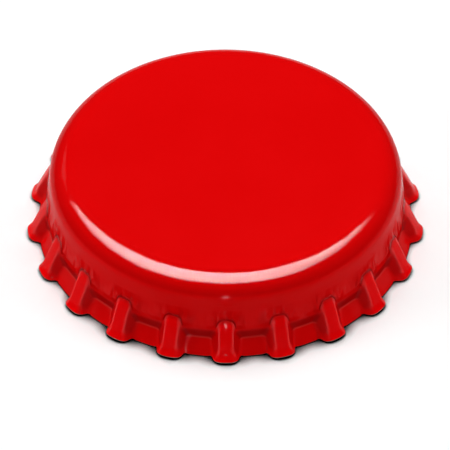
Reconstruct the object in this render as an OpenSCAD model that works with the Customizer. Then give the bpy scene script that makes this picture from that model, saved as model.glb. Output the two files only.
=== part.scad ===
// Crown cap for a bottle with a standard 26 mm crown finish.
// One pressed tinplate shell with 21 flutes, and the seal that is moulded inside it.
// The cap stands on its cut edge: Z = 0 is the edge, +Z points out through the top panel.

/* [Shell] */
// Diameter across the flute tips, at the cut edge
crown_d = 32.1; // [31.7:0.1:32.5]
// Height from the cut edge to the top panel
crown_h = 6.85; // [6.5:0.05:7]
// Thickness of the tinplate
sheet_t = 0.24; // [0.2:0.01:0.28]
// Diameter of the flat top panel
panel_d = 24.6; // [24:0.1:25]

/* [Shoulder and band] */
// Radius of the shoulder next to the top panel
shoulder_r = 2.1; // [1.8:0.1:2.3]
// Tighter radius of the shoulder next to the band
corner_r = 1.5; // [1.2:0.1:1.8]
// Lean of the plain band above the flutes, from the axis, in degrees
band_lean = 4.5; // [3:0.5:6]

/* [Valleys between the flutes] */
// Height at which the band turns in
lip_z = 2.2; // [2:0.1:2.4]
// Radius of that turn
lip_r = 0.45; // [0.35:0.05:0.6]
// How far the wall below the lip leans inwards, from the axis, in degrees
undercut_lean = 25; // [15:1:30]
// Radius of the crease at the bottom of the undercut
crease_r = 0.6; // [0.5:0.05:0.8]
// Lean of the flared panel that runs out to the cut edge, from the axis, in degrees
flare_lean = 44; // [42:1:46]
// Diameter of the cut edge between two flutes
edge_d = 30.8; // [30.6:0.1:31]

/* [Flutes] */
// Number of flutes
flute_count = 21; // [19:1:23]
// Radius across the rounded ridge of a flute
flute_r = 1; // [0.9:0.05:1.1]
// Lean of the ridge from the axis, in degrees
flute_lean = 23.5; // [22:0.5:25]
// How much each side wall of a flute opens towards the cap's axis, in degrees
flute_draft = 15; // [10:1:20]

/* [Seal] */
// Diameter of the moulded seal
seal_d = 24.4; // [24:0.1:24.5]
// Thickness of the skin in the middle
skin_t = 0.3; // [0.2:0.05:0.4]
// Thickness of the ring that the bottle's rim presses on
ring_t = 0.7; // [0.6:0.05:0.8]
// Inner diameter of that ring
ring_d = 18.6; // [18:0.1:19]
// Radius of the two beads that stand on the ring
bead_r = 0.45; // [0.4:0.05:0.5]

/* [Hidden] */
$fn = 96;
SHELL_RED = "#c80408";
SEAL_GREY = "#c9ccc6";

// Unit vector that points out of a wall leaning by the given angle, and the one down that wall
function out(lean) = [cos(lean), sin(lean)];
function down(lean) = [sin(lean), -cos(lean)];
function cross2(a, b) = a[0] * b[1] - a[1] * b[0];
// Where the line from p along u meets the line from q along v
function meet(p, u, q, v) = p + u * cross2(q - p, v) / cross2(u, v);

// Centres of the four bends, in the half section (radius, height)
shoulder_c = [panel_d / 2, crown_h - shoulder_r];
corner_c = shoulder_c + (shoulder_r - corner_r) * out(45);
band_top = corner_c + corner_r * out(band_lean);
lip = band_top + down(band_lean) * (band_top[1] - lip_z) / cos(band_lean);
lip_c = lip - lip_r * out(band_lean);
undercut_top = lip_c + lip_r * out(-undercut_lean);
crease_c = meet(undercut_top + crease_r * out(-undercut_lean), down(-undercut_lean),
                [edge_d / 2, 0] + crease_r * out(flare_lean), down(flare_lean));

// The ridge starts at the tip and runs up and in, until it is buried well inside the band
tip = [crown_d / 2, 0];
flute_top = 4.9;
flute_len = flute_top / cos(flute_lean);
flute_depth = 2.4;
below = 1;

seal_z = crown_h - sheet_t;
bead_x = [ring_d / 2 + bead_r + 0.15, seal_d / 2 - bead_r - 0.15];

// Points along a bend of the half section, from one lean to another
function bend(centre, r, from, to, steps = 6) =
    [for (i = [0 : steps]) centre + r * out(from + (to - from) * i / steps)];

// Half section of the solid inside the sheet's outer face, drawn in by inset all round
module filled_section(inset) {
    foot = [edge_d / 2, 0] - inset * out(flare_lean) + 2 * below * down(flare_lean);
    polygon(concat(
        [[0, foot[1]], [0, crown_h - inset]],
        bend(shoulder_c, shoulder_r - inset, 90, 45),
        bend(corner_c, corner_r - inset, 45, band_lean),
        bend(lip_c, lip_r - inset, band_lean, -undercut_lean),
        bend(crease_c, -crease_r - inset, -undercut_lean, flare_lean),
        [foot]
    ));
}

// Cross-section of one flute, with its ridge at the origin, drawn in by inset
module flute_section(inset) {
    r = flute_r - inset;
    wall_top = r * out(flute_draft);
    wall_foot = wall_top + [tan(flute_draft), -1] * (wall_top[1] + flute_depth - flute_r);
    translate([0, -flute_r]) {
        circle(r);
        polygon([wall_top, wall_foot, [-wall_foot[0], wall_foot[1]], [-wall_top[0], wall_top[1]]]);
    }
}

module flute(inset) {
    translate([tip[0], 0, 0]) rotate([0, -flute_lean, 0]) rotate([0, 0, -90])
        translate([0, 0, -below])
            linear_extrude(flute_len + below) flute_section(inset);
}

// The cap as a filled solid, drawn in by inset
module filled_crown(inset) {
    rotate_extrude() filled_section(inset);
    for (i = [0 : flute_count - 1]) rotate(i * 360 / flute_count - 90) flute(inset);
}

module crown_shell() {
    color(SHELL_RED) difference() {
        filled_crown(0);
        filled_crown(sheet_t);
        translate([0, 0, -3]) cylinder(h = 3, d = 2 * crown_d);
    }
}

module seal_liner() {
    color(SEAL_GREY) rotate_extrude() {
        translate([0, seal_z - skin_t]) square([seal_d / 2, skin_t]);
        translate([ring_d / 2, seal_z - ring_t]) square([(seal_d - ring_d) / 2, ring_t]);
        for (x = bead_x) translate([x, seal_z - ring_t]) circle(bead_r);
    }
}

crown_shell();
seal_liner();
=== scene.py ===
"""A crown cap: one pressed and lacquered tinplate shell, with the seal moulded inside it."""
import math

import bmesh
import bpy
from mathutils import Matrix, Vector


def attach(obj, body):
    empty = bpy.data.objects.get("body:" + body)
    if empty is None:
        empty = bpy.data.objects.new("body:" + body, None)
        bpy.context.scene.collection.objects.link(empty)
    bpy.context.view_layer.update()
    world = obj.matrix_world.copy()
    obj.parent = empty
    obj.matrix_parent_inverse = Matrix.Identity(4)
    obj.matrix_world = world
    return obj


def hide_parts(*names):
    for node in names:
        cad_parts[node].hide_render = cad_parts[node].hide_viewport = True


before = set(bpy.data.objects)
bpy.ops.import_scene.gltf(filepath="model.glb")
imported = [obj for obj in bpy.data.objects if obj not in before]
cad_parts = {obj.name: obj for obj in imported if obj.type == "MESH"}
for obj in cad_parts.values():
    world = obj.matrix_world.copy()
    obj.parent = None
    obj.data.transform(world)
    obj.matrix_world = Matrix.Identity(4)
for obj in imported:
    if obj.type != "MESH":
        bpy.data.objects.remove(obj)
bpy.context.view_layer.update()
scene = bpy.context.scene
scene.view_settings.view_transform = "Standard"
MM = 0.001


# ---- Camera ----
# A long lens looks down on the cap at 45 degrees from 1.5 m away, so that its far side is hardly
# smaller than its near side. At the cap the frame is 36.4 mm wide.
camera_height = math.radians(45.2)
camera_turn = math.radians(-0.44)
camera_roll = math.radians(0.38)
camera_distance = 1.5
farthest_seen = 20
frame_width = 36.42 * MM
sensor_width = 36
aim_height = 3 * MM
aim_shift = (-0.024 * MM, -2.20 * MM)

right = Vector((1, 0, 0))
up = Vector((0, math.sin(camera_height), math.cos(camera_height)))
back = Vector((0, -math.cos(camera_height), math.sin(camera_height)))
aim = Vector((0, 0, aim_height)) + aim_shift[0] * right + aim_shift[1] * up
camera_data = bpy.data.cameras.new("camera")
camera_data.sensor_width = sensor_width
camera_data.lens = sensor_width * camera_distance / frame_width
camera_data.clip_end = farthest_seen
camera = bpy.data.objects.new("camera", camera_data)
camera.matrix_world = (
    Matrix.Rotation(camera_turn, 4, "Z")
    @ Matrix.Translation(aim + camera_distance * back)
    @ Matrix((right, up, back)).transposed().to_4x4()
    @ Matrix.Rotation(camera_roll, 4, "Z")
)
scene.collection.objects.link(camera)
scene.camera = camera


# ---- Table and lamps ----
# A matt white table in a dim white room, under one broad softbox that hangs a little behind the
# cap. A lamp gives its light, and a bright sheet in its place gives its reflection. Five weaker
# lamps stand round the cap, and a small spot and a card show only as reflections.
class Number:
    """A number in a node tree: arithmetic on it adds the Math nodes."""

    def __init__(self, wiring, socket):
        self.wiring = wiring
        self.socket = socket

    def math(self, operation, *others):
        values = dict(enumerate((self, *others)))
        return self.wiring.number("ShaderNodeMath", {"operation": operation}, values)

    def __add__(self, other):
        return self.math("ADD", other)

    def __sub__(self, other):
        return self.math("SUBTRACT", other)

    def __rsub__(self, other):
        return (self * -1).math("ADD", other)

    def __mul__(self, other):
        return self.math("MULTIPLY", other)

    def __truediv__(self, other):
        return self.math("DIVIDE", other)

    def __rtruediv__(self, other):
        return other * self.math("POWER", -1)

    def min(self, other):
        return self.math("MINIMUM", other)

    def max(self, other):
        return self.math("MAXIMUM", other)

    def from_to(self, first, last):
        """0 up to the value first, 1 from the value last on, and a smooth step between them."""
        settings = {"interpolation_type": "SMOOTHSTEP"}
        return self.wiring.number("ShaderNodeMapRange", settings, {0: self, 1: first, 2: last})

    __radd__ = __add__
    __rmul__ = __mul__


class Wiring:
    """One node tree that is being built."""

    def __init__(self, tree):
        self.tree = tree
        tree.nodes.clear()

    def add(self, kind, settings=None, sockets=None):
        """A node of that type, with its settings first and then the values or links of its sockets."""
        node = self.tree.nodes.new(kind)
        for name, value in (settings or {}).items():
            setattr(node, name, value)
        for name, value in (sockets or {}).items():
            value = getattr(value, "socket", value)
            if isinstance(value, bpy.types.NodeSocket):
                self.tree.links.new(value, node.inputs[name])
            else:
                node.inputs[name].default_value = value
        return node

    def number(self, kind, settings=None, sockets=None, output=0):
        return Number(self, self.add(kind, settings, sockets).outputs[output])

    def parts(self, vector):
        """The three numbers of a vector."""
        split = self.add("ShaderNodeSeparateXYZ", None, {0: vector})
        return [Number(self, part) for part in split.outputs]

    def place(self, stretch=None):
        """The object's coordinates, in metres, multiplied by the stretch if there is one."""
        place = self.add("ShaderNodeTexCoord").outputs["Object"]
        if stretch is None:
            return place
        return self.add("ShaderNodeMapping", None, {"Vector": place, "Scale": stretch}).outputs[0]

    def noise(self, size, detail=2.0, roughness=0.5, stretch=None):
        """Soft noise about 0.5 on the object's coordinates, with lumps of about that size in metres."""
        return self.number("ShaderNodeTexNoise", None, {
            "Vector": self.place(stretch), "Scale": 1 / size, "Detail": detail, "Roughness": roughness,
        })

    def mix(self, mask, low, high):
        """The colour low where the mask is 0, and high where it is 1."""
        settings = {"data_type": "RGBA"}
        return self.add("ShaderNodeMix", settings, {0: mask, 6: low, 7: high}).outputs[2]

    def bump(self, height, distance):
        return self.add("ShaderNodeBump", None, {"Height": height, "Distance": distance}).outputs[0]


def between(pair, share):
    """The first of the pair where the share is 0, and the second where it is 1."""
    return pair[0] + (pair[1] - pair[0]) * share


def new_material(name, finish, shader="ShaderNodeBsdfPrincipled"):
    """A material whose finish is a function that takes the wiring and gives the shader's sockets."""
    material = bpy.data.materials.new(name)
    material.use_nodes = True
    wiring = Wiring(material.node_tree)
    surface = wiring.add(shader, None, finish(wiring))
    wiring.add("ShaderNodeOutputMaterial", None, {"Surface": surface.outputs[0]})
    return material


black = (0, 0, 0, 1)
full_white = (1, 1, 1, 1)
table_size = 6.0
table_white = (0.945, 0.97, 0.97, 1)
table_grain = (0.93555, 0.9603, 0.9603, 1)
table_grain_size = 4 * MM
table_shaded = (0.87, 0.95, 0.95, 1)
table_bounce = (0.75, 0.75, 0.75, 1)
table_glow = 0.12
# The painted shade close to the cap, as pairs: beside and behind the cap first, and in front of it
# second.
front_part = (-4 * MM, -14 * MM)
contact_reach = (0.9 * MM, 1.7 * MM)
contact_dark = (0.5, 0.6)
contact_lit = (0.92, 0.97)
# The wider painted shade that the lacquer reflects, and that tints the board less red: darkest at the
# first openness, gone at the second.
wide_reach = 6 * MM
wide_shade = (0.4, 0.95)
shade_samples = 16
room_light = 0.10
softbox_height = 0.4
softbox_size = (0.56, 0.396)
softbox_back = 0.11
softbox_light = 2.35
softbox_glare = 180.0
# The bright part of the softbox that the lacquer mirrors, in metres from the softbox's middle.
softbox_outline = (
    (-0.37, 0.215), (-0.31, 0.09), (-0.27, -0.01), (-0.20, -0.14), (-0.10, -0.18), (0, -0.19),
    (0.10, -0.18), (0.18, -0.14), (0.23, -0.05), (0.26, 0.03), (0.31, 0.145), (0.12, 0.13),
    (0.06, 0.155), (0, 0.215), (-0.06, 0.18), (-0.12, 0.16),
)
cloth_middle = -0.03
cloth_falloff = 11
cloth_least = 0.1
# Name, turn from the front and height in degrees, width and height in metres, light.
reflections = (
    ("front_spot", 0, 7, (0.03, 0.08), 500.0),
    ("back_left_card", -144, 33, (0.22, 0.20), 3.0),
)
# Name, turn from the front and height in degrees, light.
fill_lamps = (
    ("fill_front", 0, 12, 0.17),
    ("fill_left", -80, 25, 0.44),
    ("fill_right", 78, 25, 0.32),
    ("fill_back_left", -125, 25, 0.20),
    ("fill_back_right", 125, 25, 0.18),
)
fill_size = 0.4
fill_strength = 0.5 * math.pi / fill_size ** 2


def open_share(wiring, reach):
    """How much of the half space above is open within that distance, from 0 to 1."""
    settings = {"samples": shade_samples}
    return wiring.number("ShaderNodeAmbientOcclusion", settings, {"Distance": reach}, 1)


def table_finish(wiring):
    """Matt white board. It is white to the camera and in the lacquer's shine, but for a painted shadow of
    the cap, read from how open the space above is and painted deeper in front, away from the softbox, and
    a painted shade near the cap that is less red. It throws back less light than it shows."""
    path = wiring.add("ShaderNodeLightPath").outputs
    seen = Number(wiring, path["Is Camera Ray"])
    mirrored = Number(wiring, path["Is Glossy Ray"]).max(Number(wiring, path["Is Transmission Ray"]))
    front = wiring.parts(wiring.place())[1].from_to(*front_part)
    near = open_share(wiring, between(contact_reach, front))
    near = near.from_to(between(contact_dark, front), between(contact_lit, front))
    wide = open_share(wiring, wide_reach).from_to(*wide_shade)
    lit = 1 - seen * (1 - near) - mirrored * (1 - wide)
    grain = wiring.noise(table_grain_size, detail=4).from_to(0.3, 0.7)
    white = wiring.mix(wide, table_shaded, wiring.mix(grain, table_grain, table_white))
    board = wiring.mix(lit, black, wiring.mix(seen.max(mirrored), table_bounce, white))
    board = wiring.add("ShaderNodeBsdfDiffuse", None, {"Color": board})
    glow = wiring.mix(seen.max(mirrored) * lit, black, full_white)
    glow = wiring.add("ShaderNodeEmission", None, {"Color": glow, "Strength": table_glow})
    return {0: board.outputs[0], 1: glow.outputs[0]}


def softbox_finish(wiring):
    """The softbox's cloth, brightest a little left of its middle."""
    aside = wiring.parts(wiring.place())[0] - cloth_middle
    cloth = (1 - cloth_falloff * aside * aside).max(cloth_least)
    return {"Color": wiring.mix(cloth, black, full_white), "Strength": softbox_glare}


def card_finish(light):
    return lambda wiring: {"Color": full_white, "Strength": light}


def on_dome(turn, height):
    """The place 1 m from the cap at that turn from the front and that height, in degrees."""
    turn, height = math.radians(turn), math.radians(height)
    across = math.cos(height)
    return Vector((math.sin(turn) * across, -math.cos(turn) * across, math.sin(height)))


def stage_sheet(name, outline, place, material):
    """A flat, level sheet of that outline, which isn't part of the cap."""
    mesh = bpy.data.meshes.new(name)
    mesh.from_pydata([(x, y, 0) for x, y in outline], [], [range(len(outline))])
    mesh.materials.append(material)
    sheet = bpy.data.objects.new(name, mesh)
    sheet.location = place
    scene.collection.objects.link(sheet)
    return sheet


def box_outline(width, depth):
    return [(x * width / 2, y * depth / 2) for x, y in ((-1, -1), (1, -1), (1, 1), (-1, 1))]


def reflection_only(sheet):
    sheet.visible_camera = False
    sheet.visible_diffuse = False
    sheet.visible_shadow = False


def area_lamp(name, size, place, light):
    """An area lamp that shines down. It has no reflection of its own: the stage sheets give those."""
    data = bpy.data.lights.new(name, "AREA")
    data.shape = "RECTANGLE"
    data.size, data.size_y = size
    data.energy = light * math.pi * size[0] * size[1]
    lamp = bpy.data.objects.new(name, data)
    lamp.location = place
    lamp.visible_glossy = False
    scene.collection.objects.link(lamp)
    return lamp


def face_cap(thing):
    """Turns a lamp or a card on the dome so that it faces the cap."""
    thing.rotation_euler = thing.location.to_track_quat("Z", "Y").to_euler()


table_material = new_material("matt_white_table", table_finish, "ShaderNodeAddShader")
stage_sheet("table", box_outline(table_size, table_size), (0, 0, 0), table_material)
softbox_place = (0, softbox_back, softbox_height)
area_lamp("softbox", softbox_size, softbox_place, softbox_light)
softbox_cloth = new_material("softbox_glare", softbox_finish, "ShaderNodeEmission")
reflection_only(stage_sheet("softbox_glare", softbox_outline, softbox_place, softbox_cloth))
for lamp_name, lamp_turn, lamp_height, lamp_light in fill_lamps:
    lamp_place = on_dome(lamp_turn, lamp_height)
    face_cap(area_lamp(lamp_name, (fill_size, fill_size), lamp_place, lamp_light * fill_strength))
for card_name, card_turn, card_height, card_size, card_light in reflections:
    card_material = new_material(card_name, card_finish(card_light), "ShaderNodeEmission")
    card = stage_sheet(card_name, box_outline(*card_size), on_dome(card_turn, card_height), card_material)
    face_cap(card)
    reflection_only(card)

world = bpy.data.worlds.new("room")
world.use_nodes = True
world.node_tree.nodes["Background"].inputs["Color"].default_value = full_white
world.node_tree.nodes["Background"].inputs["Strength"].default_value = room_light
scene.world = world


# ---- Shell ----
# The shell is one disc of 0.24 mm tinplate, lacquered red outside and then pressed into a cup with
# a soft shoulder and a skirt of 21 flutes, which flares out to a sheared edge. Between the flutes
# the wall turns in under a small lip, and out again. Sizes are in millimetres, leans in degrees.
flute_count = 21
tip_radius = 15.99
crown_height = 6.85
sheet = 0.24
panel_radius = 12.34
shoulder_radius = 2.1
corner_radius = 1.5
band_lean = 6
lip_height = 2.55
lip_radius = 0.35
undercut_lean = 10
crease_radius = 0.2
flare_lean = 27.4
valley_edge_radius = 15.2


def out_of(lean):
    """The way out of a wall that leans by that many degrees, as (radius, height)."""
    return Vector((math.cos(math.radians(lean)), math.sin(math.radians(lean))))


def down_along(lean):
    return Vector((math.sin(math.radians(lean)), -math.cos(math.radians(lean))))


def bend(centre, radius, first, last, steps):
    """An arc whose wall leans by the first angle at its start and by the last one at its end."""
    return [centre + radius * out_of(first + (last - first) * i / steps) for i in range(steps + 1)]


def meeting(p, u, q, v):
    """Where the line from p along u meets the line from q along v."""
    return p + u * ((q - p).cross(v) / u.cross(v))


shoulder_centre = Vector((panel_radius, crown_height - shoulder_radius))
corner_centre = shoulder_centre + (shoulder_radius - corner_radius) * out_of(45)
band_top = corner_centre + corner_radius * out_of(band_lean)
band_length = (band_top.y - lip_height) / math.cos(math.radians(band_lean))
lip = band_top + down_along(band_lean) * band_length
lip_centre = lip - lip_radius * out_of(band_lean)
undercut_top = lip_centre + lip_radius * out_of(-undercut_lean)
edge = Vector((valley_edge_radius, 0))
crease_centre = meeting(
    undercut_top + crease_radius * out_of(-undercut_lean), down_along(-undercut_lean),
    edge + crease_radius * out_of(flare_lean), down_along(flare_lean),
)


def shoulder(inset):
    """The bends from the top panel to the band, drawn in by the inset."""
    first = bend(shoulder_centre, shoulder_radius - inset, 90, 45, 8)
    return first + bend(corner_centre, corner_radius - inset, 45, band_lean, 7)[1:]


def valley(inset):
    """The wall between two flutes, from the band down to 2 mm past the cut edge."""
    points = [shoulder(inset)[-1]]
    points += bend(lip_centre, lip_radius - inset, band_lean, -undercut_lean, 16)
    points += bend(crease_centre, -crease_radius - inset, -undercut_lean, flare_lean, 16)
    points.append(edge - inset * out_of(flare_lean) + 2 * down_along(flare_lean))
    return points


def valley_radius(inset, height):
    points = valley(inset)
    for above, below in zip(points, points[1:]):
        if above.y >= height >= below.y:
            share = (above.y - height) / (above.y - below.y)
            return above.x + share * (below.x - above.x)
    raise ValueError("no wall at that height")


def steps(first, last, count):
    """That many heights after the first, evenly spaced and ending at the last."""
    return [first + (last - first) * (i + 1) / count for i in range(count)]


# Rows of the sheet's section, once round it: (radius in a valley, height, distance inside the
# lacquered face), from the middle of the panel out and down, under the cut edge, and back up inside.
panel_row_radii = (0, 2, 5, 8.5, 11.6, 12.2)
flute_rows_top = 4.5
lip_rows_top = 2.9
foot_rows_top = 0.9
edge_rise = 0.16
inner_edge_rise = 0.04
edge_rows = ((0.10, 0.01), (0.05, 0.05), (0.01, 0.11), (0.0, 0.17), (0.01, 0.22))
wall_heights = steps(band_top.y, flute_rows_top, 2) + steps(flute_rows_top, lip_rows_top, 16)
wall_heights += steps(lip_rows_top, foot_rows_top, 25) + steps(foot_rows_top, edge_rise, 5)
inner_heights = [inner_edge_rise] + steps(inner_edge_rise, foot_rows_top, 4)
inner_heights += steps(foot_rows_top, lip_rows_top, 12) + steps(lip_rows_top, flute_rows_top, 6)
rows = [(radius, crown_height, 0.0) for radius in panel_row_radii]
rows += [(point.x, point.y, 0.0) for point in shoulder(0)]
rows += [(valley_radius(0, height), height, 0.0) for height in wall_heights]
rows += [(valley_radius(inset, height), height, inset) for height, inset in edge_rows]
rows += [(valley_radius(sheet, height), height, sheet) for height in inner_heights]
rows += [(point.x, point.y, sheet) for point in reversed(shoulder(sheet))]
rows += [(radius, crown_height - sheet, sheet) for radius in reversed(panel_row_radii)]

# Columns across one pitch, as turns in radians from the ridge of the flute, closer on the flute.
# Their offsets to each side of the ridge are in millimetres on the skirt.
skirt_radius = 15.6
offsets = (
    0.2, 0.34, 0.42, 0.48, 0.53, 0.58, 0.63, 0.68, 0.74, 0.8, 0.87, 0.95, 1.04, 1.15, 1.3, 1.5, 1.8,
)
half_columns = [offset / skirt_radius for offset in offsets] + [math.pi / flute_count]
columns = [-turn for turn in reversed(half_columns)] + [0] + half_columns


def grid_faces(row_count, width):
    """Quads between the points of a grid that are numbered row by row."""
    corners = [i * width + j for i in range(row_count - 1) for j in range(width - 1)]
    return [(corner, corner + width, corner + width + 1, corner + 1) for corner in corners]


strip_mesh = bpy.data.meshes.new("sheet_strip")
strip_mesh.from_pydata(
    [(turn, radius, height) for radius, height, inset in rows for turn in columns],
    [],
    grid_faces(len(rows), len(columns)),
)
inset_values = [inset for radius, height, inset in rows for turn in columns]
strip_mesh.attributes.new("inset", "FLOAT", "POINT").data.foreach_set("value", inset_values)
strip = bpy.data.objects.new("sheet_strip", strip_mesh)
scene.collection.objects.link(strip)

lacquer_reds = ((0.735, 0.0011, 0.0016, 1), (0.75, 0.0014, 0.0020, 1))
# Painted light: the flute faces get a lighter red than the rest of the lacquer.
painted_ridge_light_red = (0.84, 0.0004, 0.0014, 1)
# Painted shade: a dark red in the creases, on the flute walls, where the flutes meet the band and on the
# shoulder.
painted_shade_red = (0.33, 0.0002, 0.0008, 1)
painted_shade_share = 0.85
# Painted highlight: a paler, pinker red along the crease under the lip.
painted_crease_line_red = (0.80, 0.03, 0.025, 1)
painted_crease_line_share = 0.7
edge_coat = 0.4
ripple_size = 1.1 * MM
ripple_depth = 0.0015 * MM
draw_mark_size = 0.6 * MM
draw_mark_depth = 600
tinplate_tones = ((0.62, 0.58, 0.50, 1), (0.76, 0.73, 0.66, 1))
# The edge is bare steel, but its tones are painted near black and brown as painted shade for the dark
# line under the cap.
steel_and_shade_tones = ((0.09, 0.05, 0.04, 1), (0.20, 0.13, 0.10, 1))


def press_mark(wiring, name):
    """A mask that the press tree stores on the points of the shell: the draw marks, the coated flute
    edges, and the masks of painted light and painted shade.
    """
    return wiring.number("ShaderNodeAttribute", {"attribute_name": name}, None, 2)


def lacquer_finish(wiring):
    """Red lacquer with a faint ripple, marked by the draw above the flutes. Its colour holds painted
    light: a lighter red on the flutes, painted shade in the creases, on the flute walls, where the flutes
    meet the band and on the shoulder, and a painted highlight along the crease under the lip."""
    ridge = press_mark(wiring, "ridge")
    ripple = wiring.noise(ripple_size, detail=2)
    drawn = wiring.noise(draw_mark_size, detail=1, stretch=(1, 1, 0.3))
    drawn = press_mark(wiring, "drawn") * drawn * draw_mark_depth * (1 - ridge.from_to(0.0, 0.2))
    cloud = wiring.noise(7 * MM, detail=3)
    red = wiring.mix(cloud.from_to(0.35, 0.65), *lacquer_reds)
    # Painted light: a lighter red on the flutes.
    red = wiring.mix(ridge, red, painted_ridge_light_red)
    # Painted shade in the creases, on the flute walls, where the flutes meet the band and on the
    # shoulder.
    red = wiring.mix(painted_shade_share * press_mark(wiring, "crease"), red, painted_shade_red)
    return {
        # A painted highlight line along the crease under the lip.
        "Base Color": wiring.mix(painted_crease_line_share * press_mark(wiring, "fold"), red, painted_crease_line_red),
        "Roughness": 0.045 + 0.015 * cloud,
        "IOR": 1.10,
        "Coat Weight": edge_coat * press_mark(wiring, "bend"),
        "Coat Roughness": 0.05,
        "Normal": wiring.bump(ripple + drawn, ripple_depth),
    }


def tinplate_finish(wiring):
    """Clear-lacquered tinplate inside, with the fine straight lines of the rolling mill."""
    lines = wiring.noise(2.4 * MM, detail=5, roughness=0.7, stretch=(1, 24, 1))
    return {
        "Base Color": wiring.mix(lines.from_to(0.3, 0.7), *tinplate_tones),
        "Metallic": 0.95,
        "Roughness": 0.24 + 0.16 * lines,
        "Normal": wiring.bump(lines, 0.002 * MM),
    }


def sheared_finish(wiring):
    """The sheared edge of the sheet: bare steel, dulled and torn along its length, in tones painted near
    black and brown as painted shade for the dark line under the cap's edge.
    """
    torn = wiring.noise(0.12 * MM, detail=4, roughness=0.7)
    return {
        "Base Color": wiring.mix(torn.from_to(0.35, 0.7), *steel_and_shade_tones),
        "Metallic": 0.7,
        "Roughness": 0.45 + 0.2 * torn,
        "Normal": wiring.bump(torn, 0.01 * MM),
    }


# The tree forms one pitch of the flat strip into the fluted wall, and sets it round the axis. A
# flute has a nearly flat face between two rounded edges, and side walls that draw back to the
# valley. The foot is its end at the cut edge, and the knuckle is its top, where it meets the band.
press = Wiring(bpy.data.node_groups.new("crown_press", "GeometryNodeTree"))
press_sizes = {
    "Tip Radius": tip_radius,
    "Ridge Slope": 0.375,
    "Ridge Bow": 0.012,
    "Knuckle Bow": 0.05,
    "Foot Flare": 0.48,
    "Face Width": 0.46,
    "Face Crown": 4.0,
    "Flute Corner": 0.24,
    "Knuckle Corner": 0.36,
    "Foot Corner": 0.42,
    "Foot Spread": 0.02,
    "Knuckle Spread": -0.12,
    "Flute Lean": math.radians(23.5),
    "Foot Draft": math.radians(15),
    "Flute Draft": math.radians(42),
    "Tip Lift": 0.20,
    "Foot Fillet": 0.20,
    "Top Fillet": 0.18,
    "Flute Top": 5.0,
}
# Distances aside from the ridge, and heights, between which a form of the flute changes.
lift_sides = (0.5, 1.6)
foot_top = 0.9
knuckle_start = 2.7
lift_rise = (0.1, 1.0)
draft_rise = (0.1, 1.3)
foot_corner_rise = (-0.2, 1.4)
foot_spread_rise = (-0.2, 1.6)
fillet_rise = (1.6, 3.6)
knuckle_spread_rise = (2.1, 3.3)
knuckle_corner_rise = (2.2, 3.4)
# Heights at which each mask on the lacquer begins, is full, starts to fade and is gone: the draw marks,
# and the painted shade and painted highlight.
flank_heights = (0.2, 0.9, 3.1, 3.7)
undercut_heights = (1.35, 1.6, 2.1, 2.75)
crease_line_heights = (1.38, 1.48, 1.48, 1.6)
junction_heights = (2.5, 3.0, 3.8, 4.0)
draw_mark_heights = (2.5, 3.0, 3.2, 4.8)
shoulder_shade_heights = (5.72, 6.0, 6.1, 6.85)
least_corner = 0.02
least_reach = 10
reach_rounds = 5
fillet_fullness = 0.25
fillet_growth_inside = 3
flank_depth = 0.6
junction_depth = 0.5
shoulder_shade_depth = 0.45

sockets = press.tree.interface
sockets.new_socket(name="Strip", in_out="INPUT", socket_type="NodeSocketGeometry")
sockets.new_socket(name="Flutes", in_out="INPUT", socket_type="NodeSocketInt")
for size_name in press_sizes:
    sockets.new_socket(name=size_name, in_out="INPUT", socket_type="NodeSocketFloat")
for finish_name in ("Lacquer", "Tinplate", "Sheared Edge"):
    sockets.new_socket(name=finish_name, in_out="INPUT", socket_type="NodeSocketMaterial")
sockets.new_socket(name="Shell", in_out="OUTPUT", socket_type="NodeSocketGeometry")
entry = press.add("NodeGroupInput")
size = {size_name: Number(press, entry.outputs[size_name]) for size_name in press_sizes}

# The strip lies flat, with its turn, its radius in a valley and its height as X, Y and Z.
turn, base, height = press.parts(press.add("GeometryNodeInputPosition").outputs[0])
inset = press.number("GeometryNodeInputNamedAttribute", {"data_type": "FLOAT"}, {"Name": "inset"})
slant = size["Flute Lean"].math("COSINE")
lift = 1 - (turn.math("ABSOLUTE") * skirt_radius).from_to(*lift_sides)
lift = lift * (1 - height.from_to(*lift_rise)) * size["Tip Lift"]
height = height + lift
base = base - lift
foot = (foot_top - height).max(0)
knuckle = (height - knuckle_start).max(0)
ridge = size["Tip Radius"] - size["Ridge Slope"] * height - size["Ridge Bow"] * height * height
ridge = ridge + size["Foot Flare"] * foot * foot - size["Knuckle Bow"] * knuckle * knuckle
ridge = ridge - inset / slant
width = size["Face Width"] + size["Foot Spread"] * (1 - height.from_to(*foot_spread_rise))
width = width + size["Knuckle Spread"] * height.from_to(*knuckle_spread_rise)
corner = size["Flute Corner"] + size["Knuckle Corner"] * height.from_to(*knuckle_corner_rise)
corner = corner + size["Foot Corner"] * (1 - height.from_to(*foot_corner_rise))
corner = (corner - inset).max(least_corner)
draft = between((size["Foot Draft"], size["Flute Draft"]), height.from_to(*draft_rise))
wall_start = corner * draft.math("COSINE")
wall_steepness = 1 / draft.math("TANGENT")
tangent = turn.math("TANGENT").math("ABSOLUTE")


def flute_face(aside):
    """Radius along the axis of the flute, at that distance aside from its ridge."""
    past_face = (aside - width).max(0)
    across = past_face.min(wall_start)
    drop = corner - (corner * corner - across * across).max(0).math("SQRT")
    drop = drop + (past_face - wall_start).max(0) * wall_steepness
    drop = drop + aside * aside * 0.5 / size["Face Crown"]
    return (ridge - drop / slant).max(least_reach)


# The distance aside depends on the radius that is sought, so each round brings the two closer.
reach = ridge
for search_round in range(reach_rounds):
    reach = flute_face(reach * tangent)
past = reach * tangent - width
flute = reach / turn.math("COSINE") * height.math("LESS_THAN", size["Flute Top"])
fillet = between((size["Foot Fillet"], size["Top Fillet"]), height.from_to(*fillet_rise))
fillet = fillet * (1 + fillet_growth_inside * inset)
overlap = (fillet - (flute - base).math("ABSOLUTE")).max(0) / fillet
radius = flute.max(base) + overlap * overlap * fillet * fillet_fullness
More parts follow.
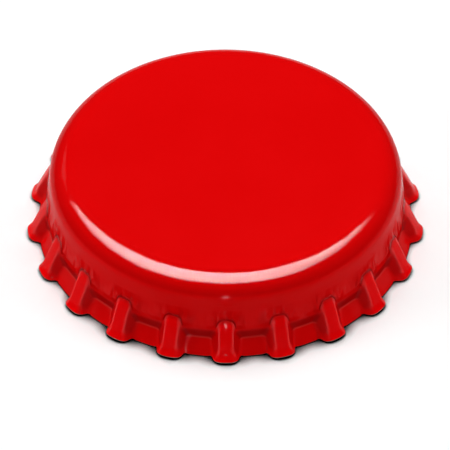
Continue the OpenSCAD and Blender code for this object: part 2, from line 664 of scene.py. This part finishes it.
# The middle of the panel stays on the axis.
radius = radius.min(40 * base)
formed = press.add("ShaderNodeCombineXYZ", None, {
    0: radius * turn.math("SINE") * MM,
    1: radius * turn.math("COSINE") * -MM,
    2: height * MM,
})


def belt(heights):
    """A mask that is full between the two middle heights, and gone below the first and above the last."""
    return height.from_to(*heights[:2]) * (1 - height.from_to(*heights[2:]))


# Masks for the lacquer: ridge lightens the flutes as painted light; flank, undercut, junction and the
# shoulder mask give painted shade; fold is a painted highlight line at the crease; drawn holds the draw
# marks, and bend the coat on the flute edges.
raised = radius - base
on_flute = raised.from_to(0.0, 0.25)
flank = past.from_to(0.5 * wall_start, 1.2 * wall_start)
flank = flank_depth * flank * on_flute * belt(flank_heights)
undercut = (1 - raised.from_to(0.1, 0.5)) * belt(undercut_heights)
junction = junction_depth * overlap * belt(junction_heights)
shoulder_shade = shoulder_shade_depth * belt(shoulder_shade_heights)
face_edge = past.from_to(-0.05, 0.4 * corner) * (1 - past.from_to(0.4 * corner, corner))
marks = {
    "ridge": on_flute,
    "bend": face_edge * raised.from_to(0.0, 0.2),
    "crease": undercut.max(flank).max(junction).max(shoulder_shade),
    "drawn": belt(draw_mark_heights) * (1 - 0.8 * past.from_to(0.3, 1.4)),
    "fold": (1 - raised.from_to(0.0, 0.3)) * belt(crease_line_heights),
}
marked = entry.outputs["Strip"]
for mark_name, mark in marks.items():
    marked = press.add("GeometryNodeStoreNamedAttribute", {"data_type": "FLOAT", "domain": "POINT"}, {
        "Geometry": marked, "Name": mark_name, "Value": mark,
    }).outputs[0]
pitch = press.add("GeometryNodeSetPosition", None, {
    "Geometry": marked, "Position": formed.outputs[0],
})
ring = press.add("GeometryNodeMeshLine", None, {"Count": entry.outputs["Flutes"], "Offset": (0, 0, 0)})
index = press.number("GeometryNodeInputIndex")
part_turn = press.add("ShaderNodeCombineXYZ", None, {
    2: index * (2 * math.pi) / Number(press, entry.outputs["Flutes"]),
})
placed = press.add("GeometryNodeInstanceOnPoints", None, {
    "Points": ring.outputs[0], "Instance": pitch.outputs[0], "Rotation": part_turn.outputs[0],
})
whole = press.add("GeometryNodeRealizeInstances", None, {0: placed.outputs[0]})
whole = press.add("GeometryNodeMergeByDistance", None, {
    "Geometry": whole.outputs[0], "Distance": 0.002 * MM,
})
finished = press.add("GeometryNodeSetMaterial", None, {
    "Geometry": whole.outputs[0], "Material": entry.outputs["Lacquer"],
})
for finish_name, reached in (("Sheared Edge", 0.015), ("Tinplate", 0.225)):
    inside = press.number("GeometryNodeInputNamedAttribute", {"data_type": "FLOAT"}, {"Name": "inset"})
    finished = press.add("GeometryNodeSetMaterial", None, {
        "Geometry": finished.outputs[0],
        "Selection": inside.math("GREATER_THAN", reached),
        "Material": entry.outputs[finish_name],
    })
press.add("NodeGroupOutput", None, {0: finished.outputs[0]})

given = {"Flutes": flute_count, **press_sizes}
given["Lacquer"] = new_material("red_lacquer_finish", lacquer_finish)
given["Tinplate"] = new_material("clear_lacquered_tinplate", tinplate_finish)
given["Sheared Edge"] = new_material("sheared_steel_edge", sheared_finish)
strip_mesh.materials.append(given["Lacquer"])
pressing = strip.modifiers.new("press", "NODES")
pressing.node_group = press.tree
for item in sockets.items_tree:
    if item.in_out == "INPUT" and item.name in given:
        pressing[item.identifier] = given[item.name]


def finished_piece(name, source):
    """A plain mesh object of what the source's modifiers make, with its faces pointing outwards."""
    evaluated = source.evaluated_get(bpy.context.evaluated_depsgraph_get())
    mesh = bpy.data.meshes.new_from_object(evaluated)
    mesh.name = name
    work = bmesh.new()
    work.from_mesh(mesh)
    bmesh.ops.remove_doubles(work, verts=work.verts, dist=0.0005 * MM)
    bmesh.ops.recalc_face_normals(work, faces=work.faces)
    for face in work.faces:
        face.smooth = True
    work.to_mesh(mesh)
    work.free()
    piece = bpy.data.objects.new(name, mesh)
    scene.collection.objects.link(piece)
    bpy.data.objects.remove(source)
    return piece


shell = finished_piece("pressed_shell", strip)
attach(shell, "root")
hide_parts("crown_shell")


# ---- Seal ----
# The seal is a pale compound that is moulded straight into the shell: a thin skin under the panel,
# and a thicker ring with two beads that the rim of the bottle presses on. Sizes in millimetres.
seal_top = 6.61
seal_radius = 12.2
skin = 0.3
mould_mark_depth = 0.03
ring_inner = 9.3
ring_depth = 0.7
bead_radius = 0.45
bead_margin = 0.15
soft_corner = 0.12
seal_segments = 192
compound_tones = ((0.55, 0.56, 0.53, 1), (0.63, 0.64, 0.61, 1))


def seal_section():
    """Half section of the seal, from the axis below the skin, out over the beads, and back on top.
    The mould leaves a fine round mark in the middle of the skin."""
    skin_z = seal_top - skin
    ring_z = seal_top - ring_depth
    points = [Vector((r, skin_z)) for r in (0, 1.4)]
    points += [Vector((r, skin_z - mould_mark_depth)) for r in (1.5, 1.7)]
    points += [Vector((r, skin_z)) for r in (1.8, 4, 7)]
    points += bend(Vector((ring_inner - soft_corner, skin_z - soft_corner)), soft_corner, 90, 0, 5)
    points += bend(Vector((ring_inner + soft_corner, ring_z + soft_corner)), soft_corner, 180, 225, 3)
    for centre in (ring_inner + bead_radius + bead_margin, seal_radius - bead_radius - bead_margin):
        points += bend(Vector((centre, ring_z)), bead_radius, 190, 350, 16)
    points += bend(Vector((seal_radius - soft_corner, ring_z + soft_corner)), soft_corner, -45, 0, 3)
    points += [Vector((r, seal_top)) for r in (seal_radius, 7, 0)]
    return points


def compound_finish(wiring):
    """Moulded sealing compound: pale grey, faintly clouded, with a soft sheen."""
    cloud = wiring.noise(2.2 * MM, detail=4)
    grain = wiring.noise(0.09 * MM, detail=3)
    return {
        "Base Color": wiring.mix(cloud.from_to(0.3, 0.7), *compound_tones),
        "Roughness": 0.36 + 0.14 * grain,
        "IOR": 1.49,
        "Subsurface Weight": 0.15,
        "Subsurface Radius": (0.5 * MM, 0.5 * MM, 0.45 * MM),
        "Subsurface Scale": 1.0,
        "Normal": wiring.bump(grain, 0.004 * MM),
    }


seal_work = bmesh.new()
section = [seal_work.verts.new((point.x * MM, 0, point.y * MM)) for point in seal_section()]
section_edges = [seal_work.edges.new(pair) for pair in zip(section, section[1:])]
bmesh.ops.spin(
    seal_work, geom=section + section_edges, cent=(0, 0, 0), axis=(0, 0, 1),
    angle=2 * math.pi, steps=seal_segments, use_merge=False,
)
seal_mesh = bpy.data.meshes.new("seal")
seal_work.to_mesh(seal_mesh)
seal_work.free()
seal_mesh.materials.append(new_material("sealing_compound", compound_finish))
seal_source = bpy.data.objects.new("seal", seal_mesh)
scene.collection.objects.link(seal_source)
bpy.context.view_layer.update()
seal = finished_piece("moulded_seal", seal_source)
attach(seal, "root")
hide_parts("seal_liner")
